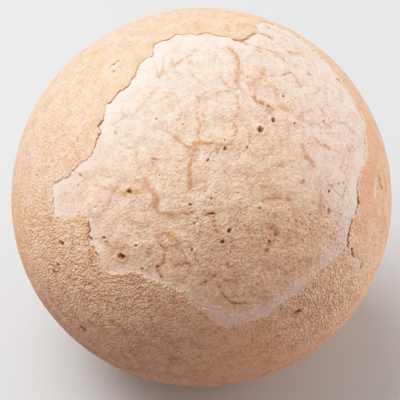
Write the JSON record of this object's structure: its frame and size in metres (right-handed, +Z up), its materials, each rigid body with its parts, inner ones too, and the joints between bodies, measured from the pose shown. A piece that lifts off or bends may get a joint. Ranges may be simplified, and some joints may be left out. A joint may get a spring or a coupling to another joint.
{
  "type": "fossil tortoise egg",
  "caption": "Round fossil tortoise egg: a stone that keeps most of its tan shell crust around a broken window of pale bare stone, with a small flat spot to rest on.",
  "frame": {"origin": "middle of the box around the egg, on the surface that its flat spot rests on", "axes": "+Z up, -Y to the front; the window in the crust looks to the front and 42 degrees upward, and +X is to its right"},
  "size_m": [0.062, 0.062, 0.0609],
  "materials": {
    "crust": "matte, fine to coarse grain",
    "stone": "matte, finely rough, pale with orange-brown veins"
  },
  "bodies": {
    "root": {"egg": "crust"}
  },
  "joints": []
}
